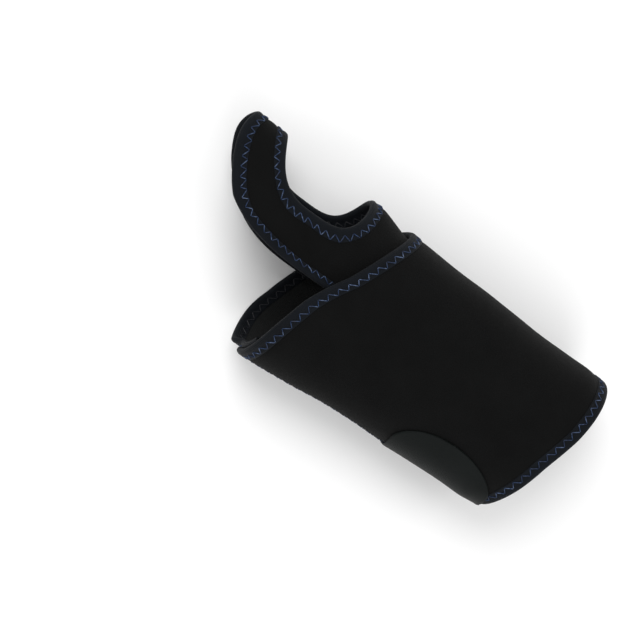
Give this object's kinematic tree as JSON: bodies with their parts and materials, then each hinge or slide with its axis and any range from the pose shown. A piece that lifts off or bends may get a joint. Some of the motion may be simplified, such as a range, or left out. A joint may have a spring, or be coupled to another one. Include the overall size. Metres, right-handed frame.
{
  "type": "wrist splint",
  "caption": "Wrap-around neoprene wrist splint with a thumb loop, bound edges, a D-shaped hook tab closure and a removable stay over the palm.",
  "frame": {"origin": "middle of the flat under the back of the wrist, on which the splint rests palm up", "axes": "+X along the forearm towards the fingers, -Y towards the thumb, +Z out of the palm"},
  "size_m": [0.2167, 0.0962, 0.056],
  "materials": {
    "neoprene": "matte brushed loop knit over foam",
    "binding_tape": "matte knitted edge tape",
    "tab": "smooth satin coated knit",
    "hooks": "moulded nylon hooks",
    "pocket": "plain woven nylon",
    "stay": "bare satin",
    "stay_tip": "dipped vinyl"
  },
  "bodies": {
    "sleeve": {"dorsal_panel": "neoprene", "dorsal_hand_binding": "binding_tape", "dorsal_arm_binding": "binding_tape", "dorsal_edge_binding": "binding_tape", "tab_root": "tab", "loop_tongue": "neoprene"},
    "palm_flap": {"palm_panel": "neoprene", "palm_hand_binding": "binding_tape", "palm_arm_binding": "binding_tape", "palm_edge_binding": "binding_tape", "stay_pocket": "pocket"},
    "stay": {"palm_stay": "stay", "stay_tip_hand": "stay_tip", "stay_tip_arm": "stay_tip"},
    "tab": {"closure_tab": "tab", "hook_patch": "hooks"},
    "thumb_loop": {"loop_panel": "neoprene", "loop_outer_binding": "binding_tape", "thumb_hole_binding": "binding_tape"}
  },
  "joints": [
    {"name": "palm_flap_open", "type": "hinge", "parent": "sleeve", "child": "palm_flap", "pos_m": [0, -0.0444, 0.028], "axis": [0.9996, -0.027, 0], "range_deg": [0, 44]},
    {"name": "tab_peel", "type": "hinge", "parent": "sleeve", "child": "tab", "pos_m": [-0.033, 0.0411, 0.01572], "axis": [-0.9999, -0.012, 0], "range_deg": [0, 110.1]},
    {"name": "stay_slide", "type": "slide", "parent": "palm_flap", "child": "stay", "axis": [-1, 0, 0], "range_m": [0, 0.108]},
    {"name": "thumb_loop_flex", "type": "hinge", "parent": "sleeve", "child": "thumb_loop", "pos_m": [0.045, -0.0417, 0.028], "axis": [0, 0, -1], "range_deg": [0, 18], "stiffness_Nm_per_rad": 0.2}
  ],
  "couplings": [
    {"joint": "tab_peel", "follows": "palm_flap_open", "ratio": 2.5}
  ]
}
